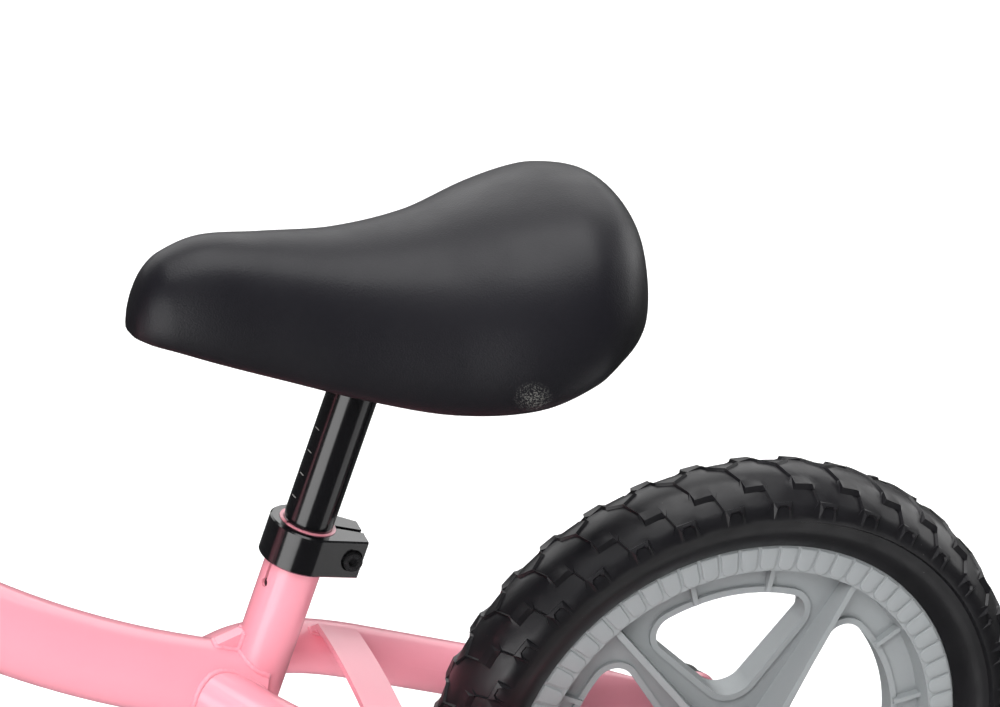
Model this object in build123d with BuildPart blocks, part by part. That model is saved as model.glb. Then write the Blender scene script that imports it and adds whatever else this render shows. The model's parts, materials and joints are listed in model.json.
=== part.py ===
"""Child's balance bike: steel frame and fork, two foam-tyred wheels, sliding saddle and handlebar.

Millimetres. +X forward, +Y to the rider's left, +Z up. The origin is on the ground, midway between
the axles. Each piece is one BuildPart, written to parts/ under its own name.
"""

import os
from math import cos, radians, sin, tan

from build123d import *

# ---- driving dimensions -----------------------------------------------------------------------

WHEELBASE = 560
TYRE_RADIUS = 147
TYRE_HALF_WIDTH = 22.6
REAR_AXLE_X = -WHEELBASE / 2
FRONT_AXLE_X = WHEELBASE / 2
AXLE_Z = TYRE_RADIUS

SEAT_LEAN = 20  # seat tube and steering axis, degrees back from vertical
STEER_LEAN = 20
FORK_OFFSET = 25  # axle ahead of the steering axis
SEAT_FOOT = (-64.9, 0, 258.4)  # a point on the seat tube's axis, where s = 0

POST_RADIUS = 11.1  # 22.2 mm seat post, stem post and handlebar
POST_WALL = 1.5
SLEEVE_RADIUS = 12.7  # 25.4 mm seat tube and steerer
SLEEVE_BORE = 11.2
MAIN_RADIUS = 18
STAY_RADIUS = 12.7
BLADE_RADIUS = 11.1
TUBE_WALL = 1.8

SEAT_TUBE_LOW = -58
SEAT_TUBE_TOP = 46.4
COLLAR_HEIGHT = 18
COLLAR_RADIUS = 16.8
COLLAR_REACH = 26  # axis to the end of the ears
COLLAR_EAR = 10.5  # half width over both ears
COLLAR_SLIT = 2.8
SCREW_RADIUS = 2.5
SCREW_REACH = 20.3  # axis to the clamp screw

AXLE_RADIUS = 5
HUB_HALF = 27
HUB_RADIUS = 17.5
BEARING_RADIUS = 13
BEARING_WIDTH = 8
DROPOUT_INNER = 40
DROPOUT_THICK = 4

SPOKES = 5
SPOKE_PHASE = 0.9  # degrees from straight up to the first window's middle, turning forward

STEERER_LOW = 156
STEERER_TOP = 337
HEAD_LOW = 194
HEAD_TOP = 284
HEAD_RADIUS = 19
HEAD_BORE = 15.1
CUP_FLANGE = 4
BALL_RADIUS = 2
BALL_RING = 15
BAR_HEIGHT = 425  # handlebar's middle, along the steering axis from the axle's foot

os.makedirs("parts", exist_ok=True)


def leaning_plane(foot, lean):
    """Plane whose Z runs up an axis that leans back, X points forward and Y to the left."""
    tilt = radians(lean)
    return Plane(origin=foot, x_dir=(cos(tilt), 0, sin(tilt)), z_dir=(-sin(tilt), 0, cos(tilt)))


SEAT = leaning_plane(SEAT_FOOT, SEAT_LEAN)
STEER_FOOT = (
    FRONT_AXLE_X - FORK_OFFSET * cos(radians(STEER_LEAN)),
    0,
    AXLE_Z - FORK_OFFSET * sin(radians(STEER_LEAN)),
)
STEER = leaning_plane(STEER_FOOT, STEER_LEAN)


def finish(piece, name):
    """Label a finished piece and write it."""
    piece.part.label = name
    export_step(piece.part, f"parts/{name}.step")


def on_steer(x, y, z):
    """World point of a point given along the steering axis."""
    return STEER.from_local_coords(Vector(x, y, z))


# ---- round stock --------------------------------------------------------------------------------


def straight_tube(plane, low, high, outer, inner=0):
    with BuildPart() as tube:
        with BuildSketch(plane.offset(low)):
            Circle(outer)
            if inner:
                Circle(inner, mode=Mode.SUBTRACT)
        extrude(amount=high - low)
    return tube


def bent_tube(points, bend, outer, inner=0):
    with BuildPart() as tube:
        with BuildLine() as route:
            FilletPolyline(*points, radius=bend)
        with BuildSketch(Plane(origin=route.line @ 0, z_dir=route.line % 0)):
            Circle(outer)
            if inner:
                Circle(inner, mode=Mode.SUBTRACT)
        sweep()
    return tube


def ring_stack(axle_x, rings):
    """Rings on an axle, mirrored left and right. Each is (from y, to y, outer, inner)."""
    with BuildPart() as stack:
        for low, high, outer, inner in rings:
            for sign in (1, -1):
                with BuildSketch(Plane.XZ.offset(-sign * low)):
                    with Locations((axle_x, AXLE_Z)):
                        Circle(outer)
                        Circle(inner, mode=Mode.SUBTRACT)
                extrude(amount=-sign * (high - low))
    return stack


# ---- wheels -------------------------------------------------------------------------------------

RIM_RADIUS = 113
RIM_HALF = 13.6  # to the face under the raised blocks
CHANNEL_RADIUS = 103
CHANNEL_HALF = 12.4
BARREL_INNER = 98.5
WEB_AT_RIM = 3.1  # half thickness of the web, outside and at the hub
WEB_AT_HUB = 5.9
RIB_HALF = 1.5
RIB_AT_RIM = 12
RIB_AT_HUB = 25
BEAD_WIDTH = 3
BEAD_RISE = 1.7
WINDOW_OUTER = 84.2
WINDOW_APEX = 25.4
WINDOW_HALF_ANGLE = 42.5
WINDOW_CORNER = 9.5
WINDOW_APEX_ROUND = 13
SPOKE_END = 74  # radius where the spoked middle meets the outer ring
BRACE_ANGLE = 12  # short braces outside each window, either side of its middle
BRACE_HALF = 1.2
BRACE_RISE = 7
BEAD_STEP = (123.9, 20.2)  # tyre section, as radius and half width: the smooth sidewall's edge
TREAD_STEP = (128.5, 20.3)  # the tread's foot
TREAD_EDGE = (138, 18.9)  # the shoulder's outer edge
CROWN_EDGE = (145.4, 9.1)


def wheel_section(axle_x):
    """Section plane through an axle: X is the radius, Y is across the wheel."""
    return Plane(origin=(axle_x, 0, AXLE_Z), x_dir=(0, 0, 1), z_dir=(-1, 0, 0))


def wheel_face(axle_x):
    """Middle plane of a wheel: X is up, Y is forward."""
    return Plane(origin=(axle_x, 0, AXLE_Z), x_dir=(0, 0, 1), z_dir=(0, 1, 0))


def axle_line(axle_x):
    return Axis((axle_x, 0, AXLE_Z), (0, 1, 0))


def web_outline(rise):
    """Half outline of the web, thicker by rise, from the hub out to the barrel."""
    return [
        (HUB_RADIUS - 2, 0),
        (HUB_RADIUS - 2, WEB_AT_HUB + rise),
        (BARREL_INNER + 1, WEB_AT_RIM + rise),
        (BARREL_INNER + 1, 0),
    ]


def window_outline(grow):
    """Rounded triangle with an arched outer side, grown outward by grow."""
    apex = WINDOW_APEX - grow / sin(radians(WINDOW_HALF_ANGLE))
    reach = WINDOW_OUTER + grow
    slope = tan(radians(WINDOW_HALF_ANGLE))
    far = reach + 20
    with BuildSketch() as outline:
        with BuildLine():
            Polyline((apex, 0), (far, (far - apex) * slope), (far, -(far - apex) * slope), close=True)
        make_face()
        Circle(reach, mode=Mode.INTERSECT)
        corners = outline.vertices().sort_by(Axis.X)
        fillet(corners[1:], WINDOW_CORNER + grow)
        fillet(outline.vertices().sort_by(Axis.X)[0], WINDOW_APEX_ROUND + grow)
    return outline.sketch


WINDOW = window_outline(0)
WINDOW_LIP = window_outline(BEAD_WIDTH)


def make_moulding(axle_x):
    """A wheel's whole plastic moulding, from the hub to the rim's flanges."""
    section = wheel_section(axle_x)
    face = wheel_face(axle_x)
    brace_middle = (WINDOW_OUTER + BARREL_INNER) / 2 + 1
    with BuildPart() as beads:
        with BuildSketch(face):
            with PolarLocations(0, SPOKES, start_angle=SPOKE_PHASE):
                add(WINDOW_LIP)
        extrude(amount=RIM_HALF, both=True)
        with BuildSketch(section):
            with BuildLine():
                Polyline(*web_outline(BEAD_RISE), close=True)
            make_face()
            mirror(about=Plane.XZ)
        revolve(axis=axle_line(axle_x), mode=Mode.INTERSECT)
    with BuildPart() as rim:
        with BuildSketch(section):
            with BuildLine():
                Polyline(
                    (CHANNEL_RADIUS, 0),
                    (CHANNEL_RADIUS, CHANNEL_HALF),
                    (RIM_RADIUS, CHANNEL_HALF),
                    (RIM_RADIUS, RIM_HALF - 0.4),
                    (RIM_RADIUS - 0.8, RIM_HALF),
                    (BARREL_INNER + 1.5, RIM_HALF),
                    (BARREL_INNER, WEB_AT_RIM),
                    (HUB_RADIUS, WEB_AT_HUB),
                    (HUB_RADIUS, HUB_HALF - 1),
                    (HUB_RADIUS - 1, HUB_HALF),
                    (BEARING_RADIUS, HUB_HALF),
                    (BEARING_RADIUS, HUB_HALF - BEARING_WIDTH),
                    (BEARING_RADIUS - 4, HUB_HALF - BEARING_WIDTH),
                    (BEARING_RADIUS - 4, 0),
                    close=True,
                )
            make_face()
            mirror(about=Plane.XZ)
        revolve(axis=axle_line(axle_x))
        add(beads.part)
        for spoke in range(SPOKES):
            turn = SPOKE_PHASE + (spoke + 0.5) * 360 / SPOKES
            rib_plane = Plane(
                origin=(axle_x, 0, AXLE_Z),
                x_dir=(sin(radians(turn)), 0, cos(radians(turn))),
                z_dir=(-cos(radians(turn)), 0, sin(radians(turn))),
            )
            with BuildSketch(rib_plane):
                with BuildLine():
                    Polyline(
                        (HUB_RADIUS - 1, -RIB_AT_HUB),
                        (HUB_RADIUS - 1, RIB_AT_HUB),
                        (BARREL_INNER + 1.2, RIB_AT_RIM),
                        (BARREL_INNER + 1.2, -RIB_AT_RIM),
                        close=True,
                    )
                make_face()
            extrude(amount=RIB_HALF, both=True)
        with BuildSketch(face):
            for brace in (-BRACE_ANGLE, BRACE_ANGLE):
                with PolarLocations(brace_middle, SPOKES, start_angle=SPOKE_PHASE + brace):
                    Rectangle(BARREL_INNER - WINDOW_OUTER, 2 * BRACE_HALF)
        extrude(amount=BRACE_RISE, both=True)
        with BuildSketch(face):
            with PolarLocations(0, SPOKES, start_angle=SPOKE_PHASE):
                add(WINDOW)
        extrude(amount=RIM_HALF, both=True, mode=Mode.SUBTRACT)
    return rim


def moulding_piece(moulding, axle_x, mode):
    """The moulding outside the spokes' ends, or with an intersecting mode, inside them."""
    with BuildPart() as piece:
        add(moulding.part)
        with BuildSketch(wheel_face(axle_x)):
            Circle(SPOKE_END)
        extrude(amount=HUB_HALF + 1, both=True, mode=mode)
    return piece


def make_tyre(axle_x):
    """Foam tyre: a tongue in the rim's channel, and a full round body outside the flanges."""
    tongue_half = CHANNEL_HALF - 0.2
    bead = (RIM_RADIUS + 0.2, RIM_HALF + 0.6)
    tread_foot = (TREAD_STEP[0] + 1.2, TYRE_HALF_WIDTH)
    with BuildPart() as tyre:
        with BuildSketch(wheel_section(axle_x)):
            with BuildLine():
                Polyline(
                    (CHANNEL_RADIUS + 0.2, 0),
                    (CHANNEL_RADIUS + 0.2, tongue_half),
                    (bead[0], tongue_half),
                    bead,
                )
                ThreePointArc(bead, (118.6, 18), BEAD_STEP)
                Polyline(BEAD_STEP, TREAD_STEP, tread_foot)
                ThreePointArc(tread_foot, (134.6, 21.6), TREAD_EDGE)
                ThreePointArc(TREAD_EDGE, (142.1, 14.4), CROWN_EDGE)
                ThreePointArc(CROWN_EDGE, (146.6, 4.6), (TYRE_RADIUS, 0))
                Line((TYRE_RADIUS, 0), (CHANNEL_RADIUS + 0.2, 0))
            make_face()
            mirror(about=Plane.XZ)
        revolve(axis=axle_line(axle_x))
    return tyre


def make_bearings(axle_x):
    """Two ball bearings with recessed shields, one in each end of the hub."""
    shield = HUB_HALF - 0.6
    with BuildPart() as bearings:
        with BuildSketch(wheel_section(axle_x)):
            with BuildLine():
                Polyline(
                    (AXLE_RADIUS + 0.05, HUB_HALF - BEARING_WIDTH),
                    (BEARING_RADIUS, HUB_HALF - BEARING_WIDTH),
                    (BEARING_RADIUS, HUB_HALF),
                    (BEARING_RADIUS - 2, HUB_HALF),
                    (BEARING_RADIUS - 2, shield),
                    (AXLE_RADIUS + 2, shield),
                    (AXLE_RADIUS + 2, HUB_HALF),
                    (AXLE_RADIUS + 0.05, HUB_HALF),
                    close=True,
                )
            make_face()
            mirror(about=Plane.XZ)
        revolve(axis=axle_line(axle_x))
    return bearings


# ---- axle hardware ------------------------------------------------------------------------------

SPACER_RADIUS = 8
WASHER_RADIUS = 10
WASHER_THICK = 1.5
NUT_FLATS = 15
NUT_HEIGHT = 7.5
AXLE_HALF = 55.5
CAP_RADIUS = 11
CAP_END = 60
CAP_ROUND = 3.8
CAP_SKIRT = 13

OUTER_WASHER = DROPOUT_INNER + DROPOUT_THICK
NUT_START = OUTER_WASHER + WASHER_THICK
NUT_END = NUT_START + NUT_HEIGHT


def make_axle(axle_x):
    with BuildPart() as axle:
        with BuildSketch(Plane.XZ):
            with Locations((axle_x, AXLE_Z)):
                Circle(AXLE_RADIUS)
        extrude(amount=AXLE_HALF, both=True)
        chamfer(axle.edges().filter_by(GeomType.CIRCLE), 0.8)
    return axle


def make_axle_nuts(axle_x):
    with BuildPart() as nuts:
        for sign in (1, -1):
            with BuildSketch(Plane.XZ.offset(-sign * NUT_START)):
                with Locations((axle_x, AXLE_Z)):
                    RegularPolygon(NUT_FLATS / 2, 6, major_radius=False)
                    Circle(AXLE_RADIUS, mode=Mode.SUBTRACT)
            extrude(amount=-sign * NUT_HEIGHT)
    return nuts


def make_nut_caps(axle_x):
    """Round-ended plastic covers over the axle nuts, with a skirt against the washer."""
    hollow = NUT_FLATS / 2 / cos(radians(30)) + 0.2
    with BuildPart() as caps:
        for radius, length in ((CAP_SKIRT, 2), (CAP_RADIUS, CAP_END - NUT_START)):
            for sign in (1, -1):
                with BuildSketch(Plane.XZ.offset(-sign * NUT_START)):
                    with Locations((axle_x, AXLE_Z)):
                        Circle(radius)
                extrude(amount=-sign * length)
        ends = caps.faces().filter_by(Axis.Y).sort_by(Axis.Y)
        fillet([*ends[0].edges(), *ends[-1].edges()], CAP_ROUND)
        for sign in (1, -1):
            with BuildSketch(Plane.XZ.offset(-sign * NUT_START)):
                with Locations((axle_x, AXLE_Z)):
                    Circle(hollow)
            extrude(amount=-sign * (AXLE_HALF - NUT_START + 0.5), mode=Mode.SUBTRACT)
    return caps


for end, axle_x in (("rear", REAR_AXLE_X), ("front", FRONT_AXLE_X)):
    moulding = make_moulding(axle_x)
    finish(moulding_piece(moulding, axle_x, Mode.SUBTRACT), f"{end}_rim")
    finish(moulding_piece(moulding, axle_x, Mode.INTERSECT), f"{end}_spokes")
    finish(make_tyre(axle_x), f"{end}_tyre")
    finish(make_bearings(axle_x), f"{end}_hub_bearings")
    finish(make_axle(axle_x), f"{end}_axle")
    finish(make_axle_nuts(axle_x), f"{end}_axle_nuts")
    finish(make_nut_caps(axle_x), f"{end}_nut_caps")
    spacers = ring_stack(axle_x, [(HUB_HALF, DROPOUT_INNER - WASHER_THICK, SPACER_RADIUS, AXLE_RADIUS)])
    finish(spacers, f"{end}_axle_spacers")
    washers = ring_stack(
        axle_x,
        [
            (DROPOUT_INNER - WASHER_THICK, DROPOUT_INNER, WASHER_RADIUS, AXLE_RADIUS),
            (OUTER_WASHER, NUT_START, WASHER_RADIUS, AXLE_RADIUS),
        ],
    )
    finish(washers, f"{end}_axle_washers")


# ---- frame --------------------------------------------------------------------------------------

MAIN_ROUTE = ((-53.5, 0, 224.2), (23, 0, 252), (177.2, 0, 358.5))
MAIN_BEND = 395
STAY_BEND = 95
STAY_START = (-24, 0, 235)
STAY_KNEE = (-74, 55, 214)
STAY_LAST = (-230, 50.5, 155.8)  # where the round tube starts to flatten
STAY_END = (-262, DROPOUT_INNER + 2, 142.6)
FLAT_HALF = 3.6  # half thickness of a flattened tube end
STRAP_MIDDLE = -103.8
STRAP_WIDTH = 19.5
STRAP_THICK = 2.5
STRAP_CROWN = 223.9
STRAP_SAG = 1.6
STRAP_FLAT = 40
STRAP_FALL = 10
STRAP_REACH = 50
STAY_SLOPE = 20
GUSSET_HALF = 3
DROPOUT_ROUND = 14
AXLE_SLOT = 5.15

seat_tube_core = straight_tube(SEAT, SEAT_TUBE_LOW, SEAT_TUBE_TOP, SLEEVE_RADIUS)
head_tube_core = straight_tube(STEER, HEAD_LOW, HEAD_TOP, HEAD_RADIUS)
main_tube_core = bent_tube(MAIN_ROUTE, MAIN_BEND, MAIN_RADIUS)
main_tube_shell = bent_tube(MAIN_ROUTE, MAIN_BEND, MAIN_RADIUS, MAIN_RADIUS - TUBE_WALL)

with BuildPart() as main_tube:
    add(main_tube_shell.part)
    add(seat_tube_core.part, mode=Mode.SUBTRACT)
    add(head_tube_core.part, mode=Mode.SUBTRACT)
finish(main_tube, "main_tube")

KEYHOLE_AT = 16.5
KEYHOLE_TURN = 20  # degrees round from the front, towards the left
keyhole_out = SEAT.x_dir * cos(radians(KEYHOLE_TURN)) + SEAT.y_dir * sin(radians(KEYHOLE_TURN))
with BuildPart() as seat_tube:
    add(straight_tube(SEAT, SEAT_TUBE_LOW, SEAT_TUBE_TOP, SLEEVE_RADIUS, SLEEVE_BORE).part)
    with BuildSketch(Plane(origin=SEAT.origin, x_dir=SEAT.z_dir, z_dir=keyhole_out)):
        with Locations((KEYHOLE_AT, 0)):
            Circle(1.9)
        with Locations(((KEYHOLE_AT + SEAT_TUBE_TOP + 1) / 2, 0)):
            Rectangle(SEAT_TUBE_TOP + 1 - KEYHOLE_AT, 1.6)
    extrude(amount=SLEEVE_RADIUS + 2, mode=Mode.SUBTRACT)
finish(seat_tube, "seat_tube")

with BuildPart() as head_tube:
    add(straight_tube(STEER, HEAD_LOW, HEAD_TOP, HEAD_RADIUS, HEAD_BORE).part)
finish(head_tube, "head_tube")

with BuildPart() as seat_gusset:
    with BuildSketch(Plane.XZ):
        with BuildLine():
            Polyline((-37, 249.9), (-50, 253.9), (-58, 252.1), (-52, 237), (-37, 240), close=True)
        make_face()
    extrude(amount=GUSSET_HALF, both=True)
    add(main_tube_core.part, mode=Mode.SUBTRACT)
    add(seat_tube_core.part, mode=Mode.SUBTRACT)
finish(seat_gusset, "seat_gusset")


def side_of(point, sign):
    return (point[0], sign * point[1], point[2])


def flattened_end(start, end, radius):
    """Solid from a round tube's end face to a flat upright oval in the dropout's plane."""
    run = Vector(*end) - Vector(*start)
    with BuildPart() as flat:
        with BuildSketch(Plane(origin=start, x_dir=(0, 1, 0), z_dir=run)):
            Circle(radius)
        with BuildSketch(Plane(origin=end, x_dir=(0, 1, 0), z_dir=(run.X, 0, run.Z))):
            Ellipse(FLAT_HALF, radius * 1.2)
        loft()
    return flat


def dropout(sign, axle_x, neck, neck_round, slot_turn):
    """Upright plate from a tube's flattened end to the axle, with an open-ended axle slot."""
    axle_point = (axle_x, AXLE_Z)
    with BuildPart() as plate:
        with BuildSketch(Plane.XZ.offset(-sign * DROPOUT_INNER)):
            with Locations(axle_point):
                Circle(DROPOUT_ROUND)
            with Locations(neck):
                Circle(neck_round)
            make_hull()
            with Locations(Location((*axle_point, 0), (0, 0, slot_turn))):
                SlotCenterPoint((0, 0), (DROPOUT_ROUND + 4, 0), 2 * AXLE_SLOT, mode=Mode.SUBTRACT)
        extrude(amount=-sign * DROPOUT_THICK)
    return plate


stay_cores = {}
for side, sign in (("left", 1), ("right", -1)):
    route = [side_of(point, sign) for point in (STAY_START, STAY_KNEE, STAY_LAST)]
    plate = dropout(sign, REAR_AXLE_X, (STAY_END[0] + 8, STAY_END[2] + 3), 9, 180)
    finish(plate, f"rear_dropout_{side}")
    stay_cores[side] = bent_tube(route, STAY_BEND, STAY_RADIUS)
    flat = flattened_end(route[2], side_of(STAY_END, sign), STAY_RADIUS)
    with BuildPart() as stay:
        add(bent_tube(route, STAY_BEND, STAY_RADIUS, STAY_RADIUS - TUBE_WALL).part)
        add(flat.part)
        add(main_tube_core.part, mode=Mode.SUBTRACT)
        add(seat_tube_core.part, mode=Mode.SUBTRACT)
        add(plate.part, mode=Mode.SUBTRACT)
    finish(stay, f"stay_{side}")

with BuildPart() as stay_bridge:
    along_stays = (cos(radians(STAY_SLOPE)), 0, sin(radians(STAY_SLOPE)))
    with BuildSketch(Plane(origin=(STRAP_MIDDLE, 0, STRAP_CROWN), x_dir=(0, 1, 0), z_dir=along_stays)):
        with BuildLine():
            Line((-STRAP_REACH, -STRAP_FALL), (-STRAP_FLAT, -STRAP_SAG))
            ThreePointArc((-STRAP_FLAT, -STRAP_SAG), (0, 0), (STRAP_FLAT, -STRAP_SAG))
            Line((STRAP_FLAT, -STRAP_SAG), (STRAP_REACH, -STRAP_FALL))
            offset(amount=STRAP_THICK, side=Side.RIGHT)
        make_face()
    extrude(amount=STRAP_WIDTH / 2, both=True)
    for core in stay_cores.values():
        add(core.part, mode=Mode.SUBTRACT)
finish(stay_bridge, "stay_bridge")


# ---- headset ------------------------------------------------------------------------------------

RACE_HEIGHT = 3.5
CONE_HEIGHT = 7
LOCKNUT_FLATS = 32

lower_cup_face = HEAD_LOW - CUP_FLANGE
race_top = lower_cup_face - 2 * BALL_RADIUS - 0.1
upper_cup_face = HEAD_TOP + CUP_FLANGE
cone_low = upper_cup_face + 2 * BALL_RADIUS + 0.1
washer_low = cone_low + CONE_HEIGHT
locknut_low = washer_low + 1.5


def bearing_cup(flange_low, sleeve_low, sleeve_high):
    with BuildPart() as cup:
        add(straight_tube(STEER, flange_low, flange_low + CUP_FLANGE, HEAD_RADIUS + 1, 13.2).part)
        add(straight_tube(STEER, sleeve_low, sleeve_high, HEAD_BORE, 13.2).part)
        rim_edges = cup.edges().filter_by(GeomType.CIRCLE).filter_by(lambda edge: edge.radius > HEAD_RADIUS)
        chamfer(rim_edges, 0.8)
    return cup


def ball_ring(height):
    with BuildPart() as balls:
        with Locations(STEER.offset(height)):
            with PolarLocations(BALL_RING, 16):
                Sphere(BALL_RADIUS)
    return balls


finish(bearing_cup(lower_cup_face, HEAD_LOW, HEAD_LOW + 10), "lower_cup")
finish(bearing_cup(HEAD_TOP, HEAD_TOP - 10, HEAD_TOP), "upper_cup")
finish(ball_ring(race_top + BALL_RADIUS + 0.05), "lower_balls")
finish(ball_ring(upper_cup_face + BALL_RADIUS + 0.05), "upper_balls")
finish(straight_tube(STEER, race_top - RACE_HEIGHT, race_top, 17.5, SLEEVE_RADIUS), "crown_race")
finish(straight_tube(STEER, cone_low, cone_low + CONE_HEIGHT, 17.5, SLEEVE_RADIUS), "adjusting_cone")
finish(straight_tube(STEER, washer_low, locknut_low, 16.5, SLEEVE_RADIUS), "lock_washer")

with BuildPart() as locknut:
    with BuildSketch(STEER.offset(locknut_low)):
        RegularPolygon(LOCKNUT_FLATS / 2, 6, major_radius=False)
        Circle(SLEEVE_RADIUS, mode=Mode.SUBTRACT)
    extrude(amount=6.5)
finish(locknut, "headset_locknut")


# ---- fork ---------------------------------------------------------------------------------------

BLADE_BEND = 30
BLADE_START = (0, 4, 169)
BLADE_KNEE = (1, 47, 166)
BLADE_LAST = (20.5, 45.5, 42)
BLADE_END = (24, DROPOUT_INNER + 2, 14)

steerer_core = straight_tube(STEER, STEERER_LOW, STEERER_TOP, SLEEVE_RADIUS)

with BuildPart() as steerer:
    add(straight_tube(STEER, STEERER_LOW, STEERER_TOP, SLEEVE_RADIUS, SLEEVE_BORE).part)
    with BuildSketch(STEER.offset(STEERER_LOW)):
        Circle(SLEEVE_RADIUS)
    extrude(amount=2)
    with BuildSketch(Plane(origin=STEER.origin, x_dir=STEER.z_dir, z_dir=STEER.x_dir)):
        with Locations((STEERER_TOP - 28, 0)):
            Circle(1.9)
        with Locations((STEERER_TOP - 13.5, 0)):
            Rectangle(29, 1.6)
    extrude(amount=SLEEVE_RADIUS + 2, mode=Mode.SUBTRACT)
finish(steerer, "fork_steerer")

for side, sign in (("left", 1), ("right", -1)):
    route = [on_steer(*side_of(point, sign)) for point in (BLADE_START, BLADE_KNEE, BLADE_LAST)]
    blade_end = on_steer(*side_of(BLADE_END, sign))
    plate = dropout(sign, FRONT_AXLE_X, (blade_end.X, blade_end.Z + 12), 9, -90)
    finish(plate, f"fork_dropout_{side}")
    flat = flattened_end(tuple(route[2]), tuple(blade_end), BLADE_RADIUS)
    with BuildPart() as blade:
        add(bent_tube(route, BLADE_BEND, BLADE_RADIUS, BLADE_RADIUS - TUBE_WALL).part)
        add(flat.part)
        add(steerer_core.part, mode=Mode.SUBTRACT)
        add(plate.part, mode=Mode.SUBTRACT)
    finish(blade, f"fork_blade_{side}")


# ---- clamp collars ------------------------------------------------------------------------------

SCREW_HEAD_RADIUS = 4.25
SCREW_HEAD = 5
HEAD_SEAT = 9.4  # from the middle plane to the face under the screw's head
COLLAR_NUT_FLATS = 8


def clamp_collar(plane, low):
    """Split ring with two ears to the rear, pocketed for a cap screw and its nut."""
    middle = plane.offset(low + COLLAR_HEIGHT / 2)
    side = Plane(origin=middle.origin, x_dir=middle.x_dir, z_dir=middle.y_dir)
    with BuildPart() as collar:
        with BuildSketch(plane.offset(low)):
            Circle(COLLAR_RADIUS)
            with Locations((-COLLAR_REACH + 1, 0)):
                Rectangle(2, 2 * COLLAR_EAR)
            make_hull()
            Circle(SLEEVE_RADIUS, mode=Mode.SUBTRACT)
            with Locations((-COLLAR_REACH + 5, 0)):
                Rectangle(2 * COLLAR_REACH - 20, COLLAR_SLIT, mode=Mode.SUBTRACT)
        extrude(amount=COLLAR_HEIGHT)
        outer_edges = collar.edges().filter_by(GeomType.CIRCLE).filter_by(lambda edge: edge.radius > 15)
        chamfer(outer_edges, 0.7)
        with BuildSketch(side):
            with Locations((-SCREW_REACH, 0)):
                Circle(SCREW_RADIUS)
        extrude(amount=COLLAR_RADIUS + 2, both=True, mode=Mode.SUBTRACT)
        for sign in (1, -1):
            with BuildSketch(side.offset(sign * HEAD_SEAT)):
                with Locations((-SCREW_REACH, 0)):
                    Circle(SCREW_HEAD_RADIUS + 0.9)
            extrude(amount=sign * 12, mode=Mode.SUBTRACT)
    return collar


def clamp_screw(plane, low):
    """M5 cap screw across the ears, head to the left."""
    middle = plane.offset(low + COLLAR_HEIGHT / 2)
    side = Plane(origin=middle.origin, x_dir=middle.x_dir, z_dir=middle.y_dir)
    with BuildPart() as screw:
        with BuildSketch(side.offset(HEAD_SEAT)):
            with Locations((-SCREW_REACH, 0)):
                Circle(SCREW_HEAD_RADIUS)
        extrude(amount=SCREW_HEAD)
        with BuildSketch(side.offset(HEAD_SEAT + SCREW_HEAD)):
            with Locations((-SCREW_REACH, 0)):
                RegularPolygon(2, 6, major_radius=False)
        extrude(amount=-2.5, mode=Mode.SUBTRACT)
        with BuildSketch(side.offset(HEAD_SEAT)):
            with Locations((-SCREW_REACH, 0)):
                Circle(SCREW_RADIUS)
        extrude(amount=-2 * HEAD_SEAT - 5)
    return screw


def clamp_nut(plane, low):
    middle = plane.offset(low + COLLAR_HEIGHT / 2)
    side = Plane(origin=middle.origin, x_dir=middle.x_dir, z_dir=middle.y_dir)
    with BuildPart() as nut:
        with BuildSketch(side.offset(-HEAD_SEAT)):
            with Locations((-SCREW_REACH, 0)):
                RegularPolygon(COLLAR_NUT_FLATS / 2, 6, major_radius=False)
                Circle(SCREW_RADIUS, mode=Mode.SUBTRACT)
        extrude(amount=-4)
    return nut


SEAT_COLLAR_LOW = SEAT_TUBE_TOP - COLLAR_HEIGHT - 0.4
BAR_COLLAR_LOW = STEERER_TOP - COLLAR_HEIGHT + 1
for name, plane, low in (("seat_clamp", SEAT, SEAT_COLLAR_LOW), ("bar_clamp", STEER, BAR_COLLAR_LOW)):
    finish(clamp_collar(plane, low), name)
    finish(clamp_screw(plane, low), f"{name}_screw")
    finish(clamp_nut(plane, low), f"{name}_nut")


# ---- handlebar ----------------------------------------------------------------------------------

STEM_LOW = 268
BAR_BEND = 45
BAR_ROUTE = ((0, 0, 425), (0, 40, 425), (-3, 82, 447), (-10, 190, 447))
GRIP_LENGTH = 100
GRIP_RADIUS = 15
GRIP_FLANGE = 23


def post_plug(plane, low):
    """Plastic plug in a post's open lower end, with a thin rim."""
    with BuildPart() as plug:
        add(straight_tube(plane, low - 2, low, POST_RADIUS).part)
        add(straight_tube(plane, low, low + 10, POST_RADIUS - POST_WALL).part)
    return plug


half_route = [on_steer(*point) for point in BAR_ROUTE]
with BuildPart() as bar_half:
    with BuildLine() as bar_line:
        FilletPolyline(*half_route, radius=BAR_BEND)
    with BuildSketch(Plane(origin=bar_line.line @ 0, z_dir=bar_line.line % 0)):
        Circle(POST_RADIUS)
        Circle(POST_RADIUS - POST_WALL, mode=Mode.SUBTRACT)
    sweep()

with BuildPart() as handlebar:
    add(bar_half.part)
    mirror(about=Plane.XZ)
finish(handlebar, "handlebar")

bar_core = bent_tube(half_route, BAR_BEND, POST_RADIUS)
with BuildPart() as stem_post:
    add(straight_tube(STEER, STEM_LOW, BAR_HEIGHT, POST_RADIUS, POST_RADIUS - POST_WALL).part)
    add(bar_core.part, mode=Mode.SUBTRACT)
    add(mirror(bar_core.part, about=Plane.XZ, mode=Mode.PRIVATE), mode=Mode.SUBTRACT)
finish(stem_post, "stem_post")
finish(post_plug(STEER, STEM_LOW), "stem_post_plug")

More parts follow.
